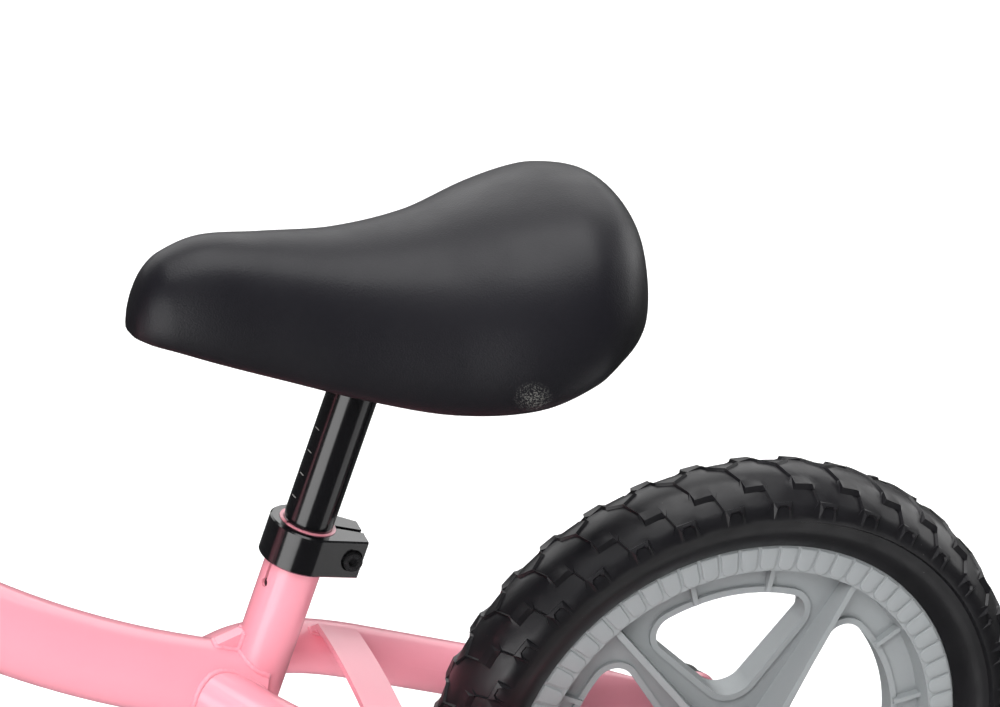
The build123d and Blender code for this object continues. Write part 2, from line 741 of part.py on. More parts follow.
bar_end = half_route[3]
bar_run = (half_route[3] - half_route[2]).normalized()
for side, sign in (("left", 1), ("right", -1)):
    outward = Vector(bar_run.X, sign * bar_run.Y, bar_run.Z)
    foot = Vector(bar_end.X, sign * bar_end.Y, bar_end.Z) - outward * (GRIP_LENGTH - 4)
    grip_section = Plane(origin=foot, x_dir=outward, z_dir=outward.cross(Vector(0, 0, 1)))
    with BuildPart() as grip:
        with BuildSketch(grip_section):
            with BuildLine():
                Polyline(
                    (0, POST_RADIUS),
                    (0, GRIP_FLANGE),
                    (4, GRIP_FLANGE),
                    (6, GRIP_RADIUS),
                    (GRIP_LENGTH - 12, GRIP_RADIUS),
                    (GRIP_LENGTH - 9, GRIP_RADIUS + 4),
                    (GRIP_LENGTH - 1, GRIP_RADIUS + 4),
                    (GRIP_LENGTH + 3, GRIP_RADIUS),
                    (GRIP_LENGTH + 3, 0),
                    (GRIP_LENGTH - 4, 0),
                    (GRIP_LENGTH - 4, POST_RADIUS),
                    close=True,
                )
            make_face()
        revolve(axis=Axis(foot, outward))
    finish(grip, f"grip_{side}")


# ---- seat post and saddle -----------------------------------------------------------------------

POST_LOW = -12
PLATE_LOW = 386
PLATE_THICK = 3
BASE_THICK = 4
PLATE_MIDDLE = -113
PLATE_SIZE = (60, 38)
SCREW_GRID = (44, 24)

# Saddle stations from the nose back: x, half width, top, lower edge.
SADDLE_STATIONS = (
    (-10, 8.5, 416, 404),
    (-17, 15, 430, 402),
    (-24, 19.5, 435, 400.5),
    (-40, 25, 439.5, 395.5),
    (-66, 31.5, 437.5, 386),
    (-100, 41, 434, 374.5),
    (-134, 53, 434.5, 367),
    (-166, 66.5, 442, 369.5),
    (-190, 69, 446.5, 378.5),
    (-204, 62, 444.5, 385.5),
    (-214, 51, 439, 389),
    (-221, 37, 428, 392),
)
BASE_SHORE = ((-62, 0), (-74, 17), (-100, 26), (-134, 36), (-166, 46), (-188, 46), (-202, 26), (-206, 0))

with BuildPart() as seat_post:
    add(straight_tube(SEAT, POST_LOW, 145, POST_RADIUS, POST_RADIUS - POST_WALL).part)
    split(bisect_by=Plane.XY.offset(PLATE_LOW), keep=Keep.BOTTOM)
finish(seat_post, "seat_post")
finish(post_plug(SEAT, POST_LOW), "seat_post_plug")

with BuildPart() as saddle_plate:
    with BuildSketch(Plane.XY.offset(PLATE_LOW)):
        with Locations((PLATE_MIDDLE, 0)):
            RectangleRounded(*PLATE_SIZE, 8)
            with GridLocations(*SCREW_GRID, 2, 2):
                Circle(SCREW_RADIUS + 0.2, mode=Mode.SUBTRACT)
    extrude(amount=PLATE_THICK)
finish(saddle_plate, "saddle_plate")

BASE_LOW = PLATE_LOW + PLATE_THICK
with BuildPart() as base_core:
    with BuildSketch(Plane.XY.offset(BASE_LOW)):
        with BuildLine():
            shore = Spline(*BASE_SHORE)
            mirror(shore, about=Plane.XZ)
        make_face()
    extrude(amount=BASE_THICK)

with BuildPart() as saddle_base:
    add(base_core.part)
    with BuildSketch(Plane.XY.offset(BASE_LOW)):
        with Locations((PLATE_MIDDLE, 0)):
            with GridLocations(*SCREW_GRID, 2, 2):
                Circle(SCREW_RADIUS)
    extrude(amount=BASE_THICK, mode=Mode.SUBTRACT)
finish(saddle_base, "saddle_base")

with BuildPart() as saddle_screws:
    with BuildSketch(Plane.XY.offset(PLATE_LOW)):
        with Locations((PLATE_MIDDLE, 0)):
            with GridLocations(*SCREW_GRID, 2, 2):
                Circle(SCREW_RADIUS)
    extrude(amount=PLATE_THICK + BASE_THICK)
    with BuildSketch(Plane.XY.offset(PLATE_LOW)):
        with Locations((PLATE_MIDDLE, 0)):
            with GridLocations(*SCREW_GRID, 2, 2):
                Circle(SCREW_HEAD_RADIUS)
    extrude(amount=-3)
finish(saddle_screws, "saddle_screws")

with BuildPart() as saddle_pad:
    for x, half, top, low in SADDLE_STATIONS:
        height = top - low
        with BuildSketch(Plane.YZ.offset(x)):
            with BuildLine():
                Spline(
                    (0, low),
                    (0.7 * half, low),
                    (half, low + 0.28 * height),
                    (0.78 * half, low + 0.78 * height),
                    (0, top),
                    (-0.78 * half, low + 0.78 * height),
                    (-half, low + 0.28 * height),
                    (-0.7 * half, low),
                    periodic=True,
                )
            make_face()
    loft()
    add(base_core.part, mode=Mode.SUBTRACT)
    with BuildSketch(Plane.XY.offset(BASE_LOW)):
        add(base_core.faces().sort_by(Axis.Z)[0])
    extrude(amount=-40, mode=Mode.SUBTRACT)
finish(saddle_pad, "saddle_pad")
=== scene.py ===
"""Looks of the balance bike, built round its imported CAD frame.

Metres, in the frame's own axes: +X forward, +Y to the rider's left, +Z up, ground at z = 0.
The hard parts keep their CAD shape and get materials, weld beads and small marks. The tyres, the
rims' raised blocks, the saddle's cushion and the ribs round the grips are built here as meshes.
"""
import json
import math

import bmesh
import bpy
from mathutils import Matrix, Vector
from mathutils.bvhtree import BVHTree
from mathutils.geometry import delaunay_2d_cdt


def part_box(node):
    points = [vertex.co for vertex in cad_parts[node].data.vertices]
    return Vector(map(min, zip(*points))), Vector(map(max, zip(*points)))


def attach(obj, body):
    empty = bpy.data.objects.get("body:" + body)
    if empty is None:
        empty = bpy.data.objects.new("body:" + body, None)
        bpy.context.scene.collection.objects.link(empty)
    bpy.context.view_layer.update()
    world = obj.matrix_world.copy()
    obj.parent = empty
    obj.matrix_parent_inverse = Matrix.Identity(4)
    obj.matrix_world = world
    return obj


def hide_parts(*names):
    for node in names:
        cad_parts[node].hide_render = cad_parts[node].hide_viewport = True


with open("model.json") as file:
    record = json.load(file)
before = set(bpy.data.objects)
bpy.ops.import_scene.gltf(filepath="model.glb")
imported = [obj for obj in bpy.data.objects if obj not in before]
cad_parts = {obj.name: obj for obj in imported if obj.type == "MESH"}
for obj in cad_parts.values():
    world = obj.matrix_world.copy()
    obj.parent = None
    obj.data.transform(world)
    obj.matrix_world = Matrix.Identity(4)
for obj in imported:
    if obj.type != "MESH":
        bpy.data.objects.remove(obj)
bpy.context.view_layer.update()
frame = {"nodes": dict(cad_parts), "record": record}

NODES = frame["nodes"]
MM = 0.001

# ---- shared tools -------------------------------------------------------------------------------


def mesh_object(name, points, faces, body, material, sharp_above=None):
    """A new piece from points in metres, smooth shaded, riding on a body."""
    mesh = bpy.data.meshes.new(name)
    mesh.from_pydata([tuple(p) for p in points], [], faces)
    mesh.validate()
    build = bmesh.new()
    build.from_mesh(mesh)
    bmesh.ops.remove_doubles(build, verts=build.verts, dist=2e-6)
    bmesh.ops.recalc_face_normals(build, faces=build.faces)
    build.to_mesh(mesh)
    build.free()
    mesh.shade_smooth()
    if sharp_above is not None:
        mesh.set_sharp_from_angle(angle=math.radians(sharp_above))
    piece = bpy.data.objects.new(name, mesh)
    bpy.context.scene.collection.objects.link(piece)
    mesh.materials.append(material)
    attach(piece, body)
    return piece


def band(faces, first, second, size):
    """Quads between two closed rings of points, given where each ring starts."""
    for k in range(size):
        n = (k + 1) % size
        faces.append([first + k, first + n, second + n, second + k])


def apply_modifiers(piece):
    """Turn a piece's modifiers into its mesh."""
    bpy.context.view_layer.update()
    shape = piece.evaluated_get(bpy.context.evaluated_depsgraph_get())
    mesh = bpy.data.meshes.new_from_object(shape)
    piece.modifiers.clear()
    piece.data = mesh


def between(table, x):
    """Smooth value at x of a table of (x, value) rows that rise in x."""
    if x <= table[0][0]:
        return table[0][1]
    if x >= table[-1][0]:
        return table[-1][1]
    k = max(i for i in range(len(table) - 1) if table[i][0] <= x)
    x0, y0 = table[k]
    x1, y1 = table[k + 1]

    def slope(i):
        if i in (0, len(table) - 1):
            return (y1 - y0) / (x1 - x0)
        return (table[i + 1][1] - table[i - 1][1]) / (table[i + 1][0] - table[i - 1][0])

    t = (x - x0) / (x1 - x0)
    run = x1 - x0
    return (
        y0 * (1 + 2 * t) * (1 - t) ** 2
        + y1 * t * t * (3 - 2 * t)
        + slope(k) * run * t * (1 - t) ** 2
        + slope(k + 1) * run * t * t * (t - 1)
    )


# ---- materials ----------------------------------------------------------------------------------


class Finish:
    """A material's node tree, with short calls for the nodes that every finish here uses."""

    def __init__(self, name, colour, roughness, metallic=0.0):
        self.material = bpy.data.materials.new(name)
        self.material.use_nodes = True
        self.tree = self.material.node_tree
        self.shader = self.tree.nodes["Principled BSDF"]
        self.shader.inputs["Base Color"].default_value = (*colour, 1)
        self.shader.inputs["Roughness"].default_value = roughness
        self.shader.inputs["Metallic"].default_value = metallic
        self.place = self.tree.nodes.new("ShaderNodeTexCoord").outputs["Object"]

    def link(self, a, b):
        self.tree.links.new(a, b)

    def noise(self, scale, detail=3.0):
        node = self.tree.nodes.new("ShaderNodeTexNoise")
        node.inputs["Scale"].default_value = scale
        node.inputs["Detail"].default_value = detail
        self.link(self.place, node.inputs["Vector"])
        return node.outputs["Fac"]

    def near(self, at, reach):
        """1 at a point of the piece, falling to 0 at a distance of reach metres."""
        node = self.tree.nodes.new("ShaderNodeVectorMath")
        node.operation = "DISTANCE"
        node.inputs[1].default_value = at
        self.link(self.place, node.inputs[0])
        return self.ramp(node.outputs["Value"], 0.35 * reach, reach, 1, 0)

    def cells(self, scale, feature="F1"):
        node = self.tree.nodes.new("ShaderNodeTexVoronoi")
        node.feature = feature
        node.inputs["Scale"].default_value = scale
        self.link(self.place, node.inputs["Vector"])
        return node.outputs["Distance"]

    def ramp(self, value, low, high, out_low, out_high):
        node = self.tree.nodes.new("ShaderNodeMapRange")
        keys = ("From Min", "From Max", "To Min", "To Max")
        for key, number in zip(keys, (low, high, out_low, out_high)):
            node.inputs[key].default_value = number
        self.link(value, node.inputs["Value"])
        return node.outputs["Result"]

    def math(self, operation, a, b):
        node = self.tree.nodes.new("ShaderNodeMath")
        node.operation = operation
        for socket, value in zip(node.inputs, (a, b)):
            if isinstance(value, (int, float)):
                socket.default_value = value
            else:
                self.link(value, socket)
        return node.outputs["Value"]

    def tint(self, factor, low, high):
        """Colour between low and high by a 0 to 1 factor. Each is a colour or another socket."""
        node = self.tree.nodes.new("ShaderNodeMix")
        node.data_type = "RGBA"
        for key, colour in (("A", low), ("B", high)):
            if isinstance(colour, tuple):
                node.inputs[key].default_value = (*colour, 1)
            else:
                self.link(colour, node.inputs[key])
        self.link(factor, node.inputs["Factor"])
        return node.outputs["Result"]

    def bump(self, height, strength, distance, below=None):
        node = self.tree.nodes.new("ShaderNodeBump")
        node.inputs["Strength"].default_value = strength
        node.inputs["Distance"].default_value = distance
        self.link(height, node.inputs["Height"])
        if below is not None:
            self.link(below, node.inputs["Normal"])
        return node.outputs["Normal"]

    def set(self, **sockets):
        for key, value in sockets.items():
            socket = self.shader.inputs[key.replace("_", " ")]
            if isinstance(value, (int, float)):
                socket.default_value = value
            else:
                self.link(value, socket)
        return self


PINK = (0.93, 0.345, 0.425)
PINK_DEEP = (0.925, 0.335, 0.415)
PINK_LIGHT = (0.935, 0.355, 0.435)
GLOSS_BLACK = (0.004, 0.004, 0.005)
SADDLE_SCUFF = (-0.1625, 0.060, 0.3795)  # a rubbed spot low on the left, towards the tail


def frame_paint():
    """Gloss pink paint with a faint orange peel under its clear coat."""
    f = Finish("frame_paint", PINK, 0.34)
    drift = f.ramp(f.noise(9, 2), 0.3, 0.7, 0, 1)
    f.set(Base_Color=f.tint(drift, PINK_DEEP, PINK_LIGHT))
    peel = f.noise(420, 2)
    f.set(Normal=f.bump(peel, 0.05, 0.0006))
    f.set(Roughness=f.ramp(f.noise(60, 4), 0.3, 0.7, 0.30, 0.38))
    f.set(Coat_Weight=0.6, Coat_Roughness=0.12)
    return f.material


def black_paint():
    """Gloss black over steel tube, with a few specks of dust."""
    f = Finish("black_paint", GLOSS_BLACK, 0.17)
    f.set(Roughness=f.ramp(f.noise(70, 3), 0.3, 0.75, 0.15, 0.21))
    speck = f.ramp(f.cells(330), 0.03, 0.05, 1, 0)
    rare = f.ramp(f.noise(150, 2), 0.62, 0.66, 0, 1)
    f.set(Base_Color=f.tint(f.math("MULTIPLY", speck, rare), GLOSS_BLACK, (0.09, 0.09, 0.09)))
    f.set(Normal=f.bump(f.noise(260, 2), 0.02, 0.0004))
    f.set(Coat_Weight=0.4, Coat_Roughness=0.1)
    return f.material


def black_oxide():
    """Blackened steel of the screws and nuts, with a slight sheen."""
    f = Finish("black_oxide", (0.10, 0.10, 0.105), 0.28, metallic=0.9)
    f.set(Roughness=f.ramp(f.noise(700, 3), 0.3, 0.7, 0.22, 0.34))
    f.set(Normal=f.bump(f.noise(1400, 2), 0.08, 0.0002))
    return f.material


def plated_steel():
    """Zinc plated steel with a mottled, slightly worn surface."""
    f = Finish("plated_steel", (0.60, 0.60, 0.61), 0.28, metallic=1.0)
    stain = f.ramp(f.noise(160, 4), 0.35, 0.75, 0, 1)
    f.set(Base_Color=f.tint(stain, (0.62, 0.62, 0.63), (0.50, 0.50, 0.49)))
    f.set(Roughness=f.ramp(f.noise(900, 2), 0.3, 0.7, 0.22, 0.36))
    f.set(Normal=f.bump(f.noise(2200, 2), 0.08, 0.0001))
    return f.material


def rim_plastic():
    """Light grey moulded plastic with a fine spark-eroded skin."""
    f = Finish("rim_plastic", (0.29, 0.308, 0.316), 0.46)
    flow = f.ramp(f.noise(14, 3), 0.3, 0.7, 0, 1)
    f.set(Base_Color=f.tint(flow, (0.282, 0.300, 0.308), (0.298, 0.315, 0.323)))
    grain = f.noise(1600, 2)
    f.set(Normal=f.bump(grain, 0.10, 0.0002, f.bump(f.noise(90, 2), 0.03, 0.001)))
    f.set(Roughness=f.ramp(f.noise(200, 3), 0.3, 0.7, 0.42, 0.52))
    return f.material


def tyre_foam():
    """Black closed-cell foam: satin skin, fine cells, scattered pale dust."""
    f = Finish("tyre_foam", (0.008, 0.0075, 0.009), 0.38)
    cloud = f.ramp(f.noise(35, 4), 0.3, 0.75, 0, 1)
    skin = f.tint(cloud, (0.0060, 0.0058, 0.0072), (0.0095, 0.0090, 0.0110))
    dust = f.ramp(f.cells(260), 0.035, 0.06, 1, 0)
    rare = f.ramp(f.noise(120, 2), 0.60, 0.68, 0, 1)
    f.set(Base_Color=f.tint(f.math("MULTIPLY", dust, rare), skin, (0.16, 0.155, 0.15)))
    f.set(Roughness=f.ramp(f.noise(80, 5), 0.3, 0.75, 0.30, 0.46))
    cells = f.bump(f.noise(1100, 3), 0.10, 0.0003)
    f.set(Normal=f.bump(f.noise(55, 3), 0.10, 0.002, cells))
    return f.material


def saddle_skin():
    """Matte black vinyl with a fine leather grain and one rubbed spot."""
    f = Finish("saddle_skin", (0.008, 0.0076, 0.0105), 0.42)
    cloud = f.ramp(f.noise(12, 3), 0.3, 0.7, 0, 1)
    skin = f.tint(cloud, (0.0074, 0.0070, 0.0098), (0.0086, 0.0082, 0.0112))
    flecks = f.ramp(f.noise(1500, 2), 0.50, 0.60, 0, 1)
    scuff = f.math("MULTIPLY", f.near(SADDLE_SCUFF, 0.009), flecks)
    f.set(Base_Color=f.tint(scuff, skin, (0.13, 0.13, 0.12)))
    grain = f.cells(1500, "SMOOTH_F1")
    fine = f.bump(grain, 0.22, 0.0003)
    f.set(Normal=f.bump(f.noise(70, 3), 0.05, 0.002, fine))
    f.set(Roughness=f.ramp(f.noise(40, 4), 0.3, 0.75, 0.38, 0.48))
    f.set(Specular_IOR_Level=0.37)
    return f.material


def black_plastic():
    """Black moulded plastic with a fine grain."""
    f = Finish("black_plastic", (0.02, 0.02, 0.021), 0.42)
    f.set(Normal=f.bump(f.noise(1300, 2), 0.12, 0.0002))
    f.set(Roughness=f.ramp(f.noise(120, 3), 0.3, 0.7, 0.36, 0.5))
    return f.material


def grip_rubber():
    """Matte black rubber."""
    f = Finish("grip_rubber", (0.02, 0.0195, 0.02), 0.62)
    f.set(Normal=f.bump(f.noise(1500, 3), 0.2, 0.0002))
    f.set(Roughness=f.ramp(f.noise(90, 4), 0.3, 0.7, 0.55, 0.72))
    return f.material


def white_ink():
    """Thin pale grey printing ink."""
    f = Finish("white_ink", (0.30, 0.30, 0.29), 0.5)
    f.set(Roughness=f.ramp(f.noise(600, 2), 0.3, 0.7, 0.45, 0.6))
    return f.material


MATERIALS = {
    "frame_paint": frame_paint(),
    "black_paint": black_paint(),
    "black_oxide": black_oxide(),
    "plated_steel": plated_steel(),
    "rim_plastic": rim_plastic(),
    "tyre_foam": tyre_foam(),
    "saddle_skin": saddle_skin(),
    "black_plastic": black_plastic(),
    "grip_rubber": grip_rubber(),
}
INK = white_ink()


def paint_cad_nodes():
    """Each CAD node takes the finish of its own slot in the record."""
    for row in frame["record"]["subparts"]:
        node = NODES[row["node"]]
        node.data.materials.clear()
        node.data.materials.append(MATERIALS[row["material_slot"]])


# ---- tyres --------------------------------------------------------------------------------------

# Angles in degrees round the wheel, turning rearward from straight up; radii and depths in mm.
PITCHES = 37
PITCH = 360 / PITCHES
FIRST_BLOCK = -5.28  # leading edge of one shoulder arch
FAR_SHIFT = 1.6  # how far the right-hand side's pattern is turned from the left's
ARCH = (0.0, 4.15)  # shoulder arch: its two sides
ARCH_BLOCK = (0.9, 3.25)  # the block inside it
ARCH_LOW, ARCH_BLOCK_TOP, ARCH_TOP = 131.2, 136.3, 138.0
ARCH_DEPTH = 1.3
ARCH_WALL = 0.45
PIT = (-4.85, -1.0)
PIT_LOW, PIT_VALLEY, PIT_TOP = 141.9, 143.1, 145.4
PIT_DEPTH = 2.1
PIT_WALL = 0.6
GROOVE_HALF = 0.6
GROOVE_DEPTH = 1.3
NODE_TURN = -6.2  # where a groove from the left meets the crown's zigzag
ARM_TURNS = (-8.9, -3.2)
ARM_REACH = 4.7  # how far past the middle the zigzag's arms run
FAR_PIT_TOP = 9.2
BLOCK_CORNER = 1.2  # cut across the two corners of a shoulder block
PIT_TAPER = 0.2
TREAD_RADIUS = 140
SECTION_HEART = 8  # a point inside the tyre's section, above the bead
LEAST_EDGE = 0.35
TILE_START = -2.2  # degrees from a block's leading edge to the seam between two pitches
CREASE_REACH = 12  # creases this far past a tile's ends still shape it
CREASE_CLEAR = 0.45
SIDEWALL_RADII = (123.9, 128.5, 129.7)  # lines round the sidewall where its curve changes
BEAD_POINTS = 148
BEAD_FOLD = ((0, 0), (1.2, 1.6), (1.2, 6))  # the bead's way in under the flange: down, across


def wheel_centre(tyre):
    low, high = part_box(tyre)
    return (low + high) / 2


def section_outline(node):
    """Half outline of a tyre outside its rim, from the bead to the crown, as (radius, y) in mm."""
    centre = wheel_centre(node)
    low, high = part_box(node.replace("tyre", "rim"))
    bead = (high - low).x / 2
    found = set()
    for vertex in NODES[node].data.vertices:
        out = Vector((vertex.co.x - centre.x, vertex.co.z - centre.z)).length
        if vertex.co.y > -1e-6 and out > bead - 1e-5:
            found.add((round(out / MM, 1), round(vertex.co.y / MM, 1)))
    inner = bead / MM + SECTION_HEART
    ring = sorted(found, key=lambda p: -math.atan2(p[1], p[0] - inner))
    outline = [ring[0]]
    for point in ring[1:]:
        if math.dist(point, outline[-1]) > LEAST_EDGE:
            outline.append(point)
    return outline


class Section:
    """A tyre's outline by arc length from the left bead, over the crown, to the right bead."""

    def __init__(self, outline):
        self.points = outline + [(r, -y) for r, y in reversed(outline[:-1])]
        self.run = [0.0]
        for a, b in zip(self.points, self.points[1:]):
            self.run.append(self.run[-1] + math.dist(a, b))
        self.middle = self.run[-1] / 2

    def at(self, s):
        """Point and outward normal at arc length s."""
        s = min(max(s, 0.0), self.run[-1] - 1e-6)
        k = max(i for i in range(len(self.run) - 1) if self.run[i] <= s)
        share = (s - self.run[k]) / (self.run[k + 1] - self.run[k])
        a, b = Vector(self.points[k]), Vector(self.points[k + 1])
        before = Vector(self.points[max(k - 1, 0)])
        after = Vector(self.points[min(k + 2, len(self.points) - 1)])
        along = (b - before).normalized().lerp((after - a).normalized(), share)
        along = along.lerp((b - a).normalized(), 0.3).normalized()
        return a.lerp(b, share), Vector((-along.y, along.x)) * -1

    def where(self, radius):
        """Arc length on the left side where the outline reaches a radius."""
        for k, (a, b) in enumerate(zip(self.points, self.points[1:])):
            if a[0] <= radius <= b[0]:
                share = (radius - a[0]) / max(b[0] - a[0], 1e-9)
                return self.run[k] + share * (self.run[k + 1] - self.run[k])
        return self.middle


def flat_distance(p, a, b):
    """Distance from p to the segment a b."""
    run = b - a
    t = max(0.0, min(1.0, (p - a).dot(run) / run.length_squared))
    return (p - a - run * t).length


def inside(p, loop):
    """How far p lies inside a convex loop that turns to the left; negative outside."""
    depth = 1e9
    for a, b in zip(loop, loop[1:] + loop[:1]):
        edge = (b - a).normalized()
        depth = min(depth, edge.x * (p.y - a.y) - edge.y * (p.x - a.x))
    return depth


def facing(loop):
    """1 where a loop's second point lies further across the tread than its first, else -1."""
    return 1 if loop[1].y > loop[0].y else -1


def leftward(loop):
    """The loop in the order that turns to the left."""
    return list(reversed(loop)) if facing(loop) > 0 else list(loop)


class Tread:
    """The tread of one pitch, unrolled: u is mm round the wheel, v is arc length across it."""

    def __init__(self, section):
        self.section = section
        self.per_degree = math.radians(1) * TREAD_RADIUS
        self.grooves = []
        self.arches = []
        self.pits = []
        for sheet in range(-2, 3):
            self.add_side(sheet * PITCH, False)
            self.add_side(sheet * PITCH + FAR_SHIFT, True)
            self.add_crown(sheet * PITCH)

    def point(self, turn, v, far=False):
        return Vector((turn * self.per_degree, 2 * self.section.middle - v if far else v))

    def add_side(self, turn, far):
        """One shoulder arch with its block, the pit above it and the grooves that join them."""
        where = self.section.where
        low, block, top = where(ARCH_LOW), where(ARCH_BLOCK_TOP), where(ARCH_TOP)
        pit_low, valley, pit_top = where(PIT_LOW), where(PIT_VALLEY), where(PIT_TOP)
        slant = BLOCK_CORNER / self.per_degree

        def path(*spots):
            return [self.point(turn + a, v, far) for a, v in spots]

        start, end = ARCH
        arch = path((start, low), (start, top), (end, top), (end, low))
        start, end = ARCH_BLOCK
        block_outline = path(
            (start, low),
            (start, block - BLOCK_CORNER),
            (start + slant, block),
            (end - slant, block),
            (end, block - BLOCK_CORNER),
            (end, low),
        )
        self.arches.append((arch, block_outline))
        start, end = PIT
        narrow, wide = end - PIT_TAPER, end + PIT_TAPER
        pit = path((start, pit_low), (start, pit_top), (narrow, pit_top), (wide, pit_low))
        self.pits.append((pit, path((start, valley), (end, valley))))
        self.grooves.append(path((ARCH[0], top), (wide, pit_low)))
        if not far:
            node = self.point(turn + NODE_TURN, self.section.middle)
            self.grooves.append(path((start, pit_top)) + [node])

    def add_crown(self, turn):
        """The zigzag from a node on the left, over the middle, to the right side's pits."""
        middle = self.section.middle
        node = self.point(turn + NODE_TURN, middle)
        far_pits = (PIT[1] - PIT_TAPER + FAR_SHIFT - PITCH, PIT[0] + FAR_SHIFT)
        for arm, pit in zip(ARM_TURNS, far_pits):
            elbow = self.point(turn + arm, middle + ARM_REACH)
            self.grooves.append([node, elbow, self.point(turn + pit, middle + FAR_PIT_TOP)])

    def depth(self, p):
        """How far below the tyre's round surface the tread lies at p, in mm."""
        deep = 0.0
        for route in self.grooves:
            for a, b in zip(route, route[1:]):
                deep = max(deep, GROOVE_DEPTH * (1 - flat_distance(p, a, b) / GROOVE_HALF))
        for arch, block in self.arches:
            deep = max(deep, self.arch_depth(p, arch, block))
        for pit, valley in self.pits:
            deep = max(deep, self.pit_depth(p, pit, valley))
        return deep

    @staticmethod
    def arch_depth(p, arch, block):
        within = inside(p, leftward(arch))
        if within <= -1e-6:
            return 0.0
        covered = inside(p, list(reversed(block)) if facing(arch) > 0 else block)
        gap = min(max(within, 0.0), max(-covered, 0.0))
        return ARCH_DEPTH * min(1.0, gap / ARCH_WALL)

    @staticmethod
    def pit_depth(p, pit, valley):
        if inside(p, leftward(pit)) <= 0:
            return 0.0
        walls = min(flat_distance(p, pit[0], pit[1]), flat_distance(p, pit[2], pit[3]))
        low, line, top = pit[0].y, valley[0].y, pit[1].y
        if (p.y - line) * facing(pit) < 0:
            share = (p.y - low) / (line - low)
        else:
            share = (top - p.y) / (top - line)
        return PIT_DEPTH * min(1.0, walls / PIT_WALL, share)

    def creases(self):
        """Every line along which the tread's surface bends, as runs of points."""
        lines = []
        for route in self.grooves:
            lines.append(route)
            for side in (-GROOVE_HALF, GROOVE_HALF):
                lines.append(offset_line(route, side))
        for arch, block in self.arches:
            wall = ARCH_WALL * facing(arch)
            lines.append(arch + [arch[0]])
            lines.append(offset_line(arch, -wall))
            lines.append(block + [block[0]])
            lines.append(offset_line(block, wall))
        for pit, valley in self.pits:
            run = (valley[1] - valley[0]).normalized() * PIT_WALL
            lines.append(pit + [pit[0]])
            lines.append([pit[0], valley[0] + run, valley[1] - run, pit[3]])
            lines.append([pit[1], valley[0] + run])
            lines.append([pit[2], valley[1] - run])
        return lines


def offset_line(route, gap):
    """The route moved sideways by gap, mitred at its corners. Positive is to the left."""
    moved = []
    for k, p in enumerate(route):
        before = (p - route[k - 1]).normalized() if k else None
        after = (route[k + 1] - p).normalized() if k < len(route) - 1 else None
        before, after = before or after, after or before
        mid = (before + after).normalized()
        side = Vector((-mid.y, mid.x))
        reach = gap / max(0.35, mid.dot(before))
        moved.append(p + side * reach)
    return moved


class FlatMesh:
    """Points and edges for a flat triangulation, each point kept once."""

    def __init__(self):
        self.points, self.edges, self.index = [], [], {}

    def vertex(self, p):
        key = (round(p.x, 4), round(p.y, 4))
        if key not in self.index:
            self.index[key] = len(self.points)
            self.points.append(Vector(key))
        return self.index[key]

    def line(self, run):
        for a, b in zip(run, run[1:]):
            i, j = self.vertex(a), self.vertex(b)
            if i != j:
                self.edges.append((i, j))


def tile_rows(section, step):
    """Positions across the tread, at the outline's own corners and no more than a step apart."""
    corners = [0.0]
    for v in section.run[1:]:
        if v - corners[-1] > step * 0.45:
            corners.append(v)
    corners[-1] = section.run[-1]
    rows = []
    for a, b in zip(corners, corners[1:]):
        parts = max(1, round((b - a) / step))
        rows += [a + (b - a) * k / parts for k in range(parts)]
    return rows + [corners[-1]]


def tread_tile(section, step):
    """One pitch of the tread as flat points (turn, v, depth) and faces."""
    tread = Tread(section)
    creases = tread.creases()
    left = TILE_START * tread.per_degree
    right = left + PITCH * tread.per_degree
    width = section.run[-1]
    sheet = FlatMesh()
    for run in creases:
        near = any(left - CREASE_REACH < p.x < right + CREASE_REACH for p in run)
        if near and all(0 < p.y < width for p in run):
            sheet.line(run)
    rows = tile_rows(section, step)
    columns = max(2, round((right - left) / step))
    pieces = [(a, b) for run in creases for a, b in zip(run, run[1:])]
    for v in rows:
        for k in range(columns + 1):
            p = Vector((left + (right - left) * k / columns, v))
            clear = min(flat_distance(p, a, b) for a, b in pieces)
            if clear > CREASE_CLEAR or k in (0, columns):
                sheet.vertex(p)
    for x in (left, right):
        sheet.line([Vector((x, v)) for v in rows])
    walls = [section.where(r) for r in SIDEWALL_RADII]
    for v in walls + [width - v for v in walls]:
        sheet.line([Vector((left, v)), Vector((right, v))])
    flat, _, faces, _, _, _ = delaunay_2d_cdt(sheet.points, sheet.edges, [], 0, 1e-5)
    tile = [f for f in faces if left < sum(flat[i].x for i in f) / 3 < right]
    used = sorted({i for f in tile for i in f})
    place = {i: k for k, i in enumerate(used)}
    made = [(flat[i].x / tread.per_degree, flat[i].y, tread.depth(flat[i])) for i in used]
    return made, [[place[i] for i in f] for f in tile]


def round_wheel(centre, radius, across, angle):
    """A point in metres at a radius and a distance across, both mm, and an angle from the top."""
    return (
        centre.x - radius * MM * math.sin(angle),
        across * MM,
        centre.z + radius * MM * math.cos(angle),
    )


def make_tyre(node, body, step):
    """A tyre with its moulded tread, on the outline of its CAD solid."""
    centre = wheel_centre(node)
    section = Section(section_outline(node))
    tile, tile_faces = tread_tile(section, step)
    placed = []
    for turn, v, deep in tile:
        at, out = section.at(v)
        placed.append((turn, at - out * deep))
    points, faces = [], []
    for pitch in range(PITCHES):
        start = len(points)
        for turn, at in placed:
            angle = math.radians(turn + FIRST_BLOCK + pitch * PITCH)
            points.append(round_wheel(centre, at.x, at.y, angle))
        faces += [[start + i for i in f] for f in tile_faces]
    close_bead(points, faces, centre, section)
    foam = MATERIALS["tyre_foam"]
    piece = mesh_object(f"{node}_tread", points, faces, body, foam, 28)
    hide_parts(node)
    return piece


